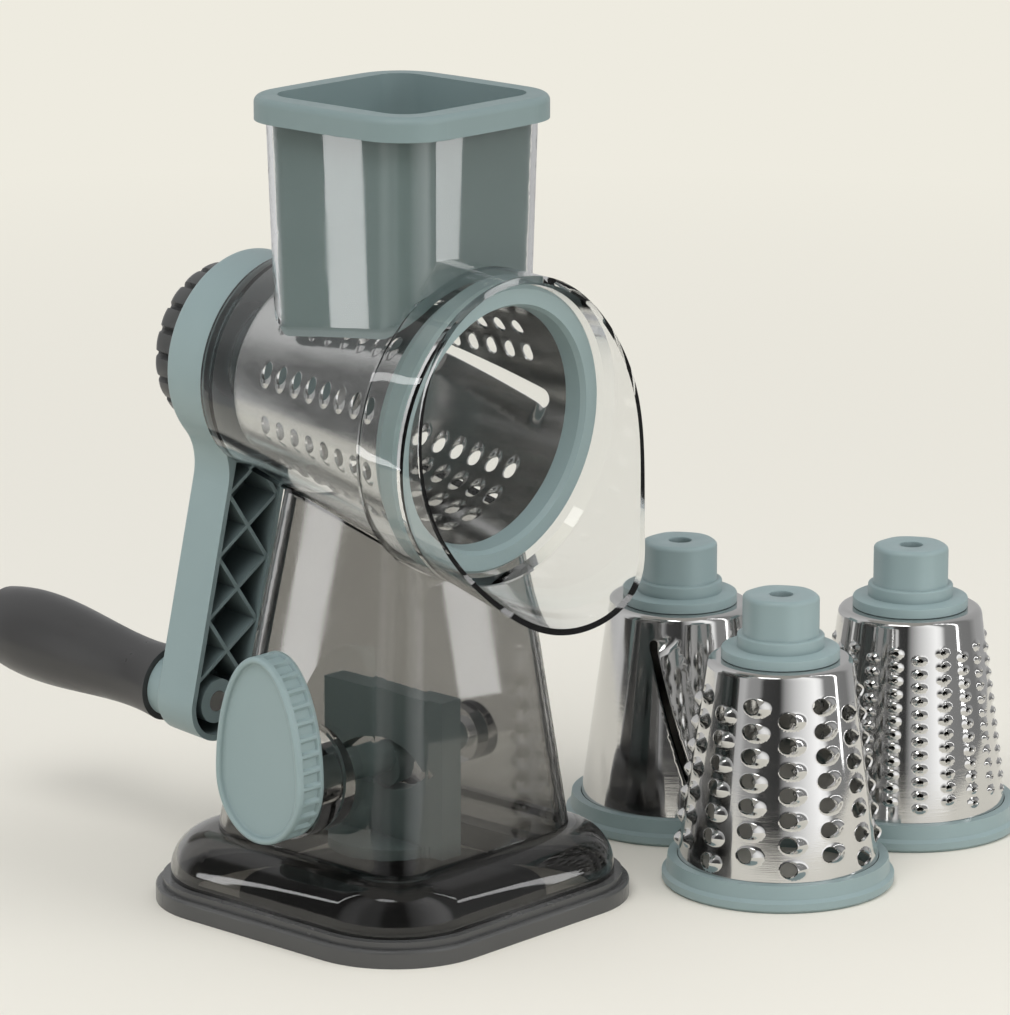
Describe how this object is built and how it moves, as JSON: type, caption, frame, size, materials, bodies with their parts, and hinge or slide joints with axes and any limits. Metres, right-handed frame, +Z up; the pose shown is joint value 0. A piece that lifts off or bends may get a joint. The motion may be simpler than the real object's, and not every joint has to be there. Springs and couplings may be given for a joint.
{
  "type": "rotary cabbage shredder",
  "caption": "Hand-cranked shredder: tilted clear barrel on a smoky pedestal with a suction lock, teal crank, food pusher and conical cutting drums, with spare drums beside it.",
  "frame": {"origin": "middle of the base's underside, on the table", "axes": "+Z up, -Y towards the spout, +Y towards the crank, -X towards the suction lever"},
  "size_m": [0.3168, 0.3281, 0.3],
  "materials": {
    "clear_plastic": "clear, polished",
    "smoky_plastic": "smoky, polished",
    "teal_plastic": "satin",
    "dark_plastic": "satin",
    "polished_steel": "polished",
    "black_rubber": "matte"
  },
  "bodies": {
    "base": {"base_ring": "dark_plastic", "pedestal": "smoky_plastic", "suction_cup": "black_rubber", "barrel_housing": "clear_plastic"},
    "crank": {"crank_arm": "teal_plastic", "handle_pin": "polished_steel"},
    "grip": {"grip": "dark_plastic"},
    "lock_knob": {"lock_knob": "dark_plastic"},
    "shredder_drum": {"shredder_drum_sheet": "polished_steel", "shredder_drum_hub": "teal_plastic", "shredder_drum_ring": "teal_plastic"},
    "pusher": {"food_pusher": "teal_plastic"},
    "suction_lever": {"suction_knob": "teal_plastic", "lock_shaft": "teal_plastic", "lock_cam": "teal_plastic"},
    "suction_yoke": {"suction_yoke": "teal_plastic"},
    "slicer_drum": {"slicer_drum_sheet": "polished_steel", "slicer_drum_hub": "teal_plastic", "slicer_drum_ring": "teal_plastic"},
    "coarse_drum": {"coarse_drum_sheet": "polished_steel", "coarse_drum_hub": "teal_plastic", "coarse_drum_ring": "teal_plastic"},
    "fine_drum": {"fine_drum_sheet": "polished_steel", "fine_drum_hub": "teal_plastic", "fine_drum_ring": "teal_plastic"}
  },
  "joints": [
    {"name": "crank_turn", "type": "hinge", "parent": "base", "child": "crank", "pos_m": [0, 0, 0.1886], "axis": [0, -0.9966, -0.0819], "continuous": true},
    {"name": "grip_spin", "type": "hinge", "parent": "crank", "child": "grip", "pos_m": [-0.02109, 0.14011, 0.0709], "axis": [0, -0.9966, -0.0819], "continuous": true},
    {"name": "lock_knob_turn", "type": "hinge", "parent": "crank", "child": "lock_knob", "pos_m": [0, 0, 0.1886], "axis": [0, -0.9966, -0.0819], "continuous": true},
    {"name": "shredder_drum_out", "type": "slide", "parent": "crank", "child": "shredder_drum", "axis": [0, -0.9966, -0.0819], "range_m": [0, 0.17]},
    {"name": "pusher_lift", "type": "slide", "parent": "base", "child": "pusher", "axis": [0, 0, 1], "range_m": [0, 0.09]},
    {"name": "suction_lever_turn", "type": "hinge", "parent": "base", "child": "suction_lever", "pos_m": [0, 0, 0.0545], "axis": [-1, 0, 0], "range_deg": [0, 90]},
    {"name": "suction_yoke_lift", "type": "slide", "parent": "base", "child": "suction_yoke", "axis": [0, 0, 1], "range_m": [0, 0.0031], "deforming": ["suction_cup"]},
    {"name": "slicer_drum_lift", "type": "slide", "parent": "base", "child": "slicer_drum", "axis": [0, 0, 1], "range_m": [0, 0.12]},
    {"name": "coarse_drum_lift", "type": "slide", "parent": "base", "child": "coarse_drum", "axis": [0, 0, 1], "range_m": [0, 0.12]},
    {"name": "fine_drum_lift", "type": "slide", "parent": "base", "child": "fine_drum", "axis": [0, 0, 1], "range_m": [0, 0.12]}
  ],
  "couplings": [
    {"joint": "suction_yoke_lift", "follows": "suction_lever_turn", "m_per_rad": 0.0019099}
  ]
}
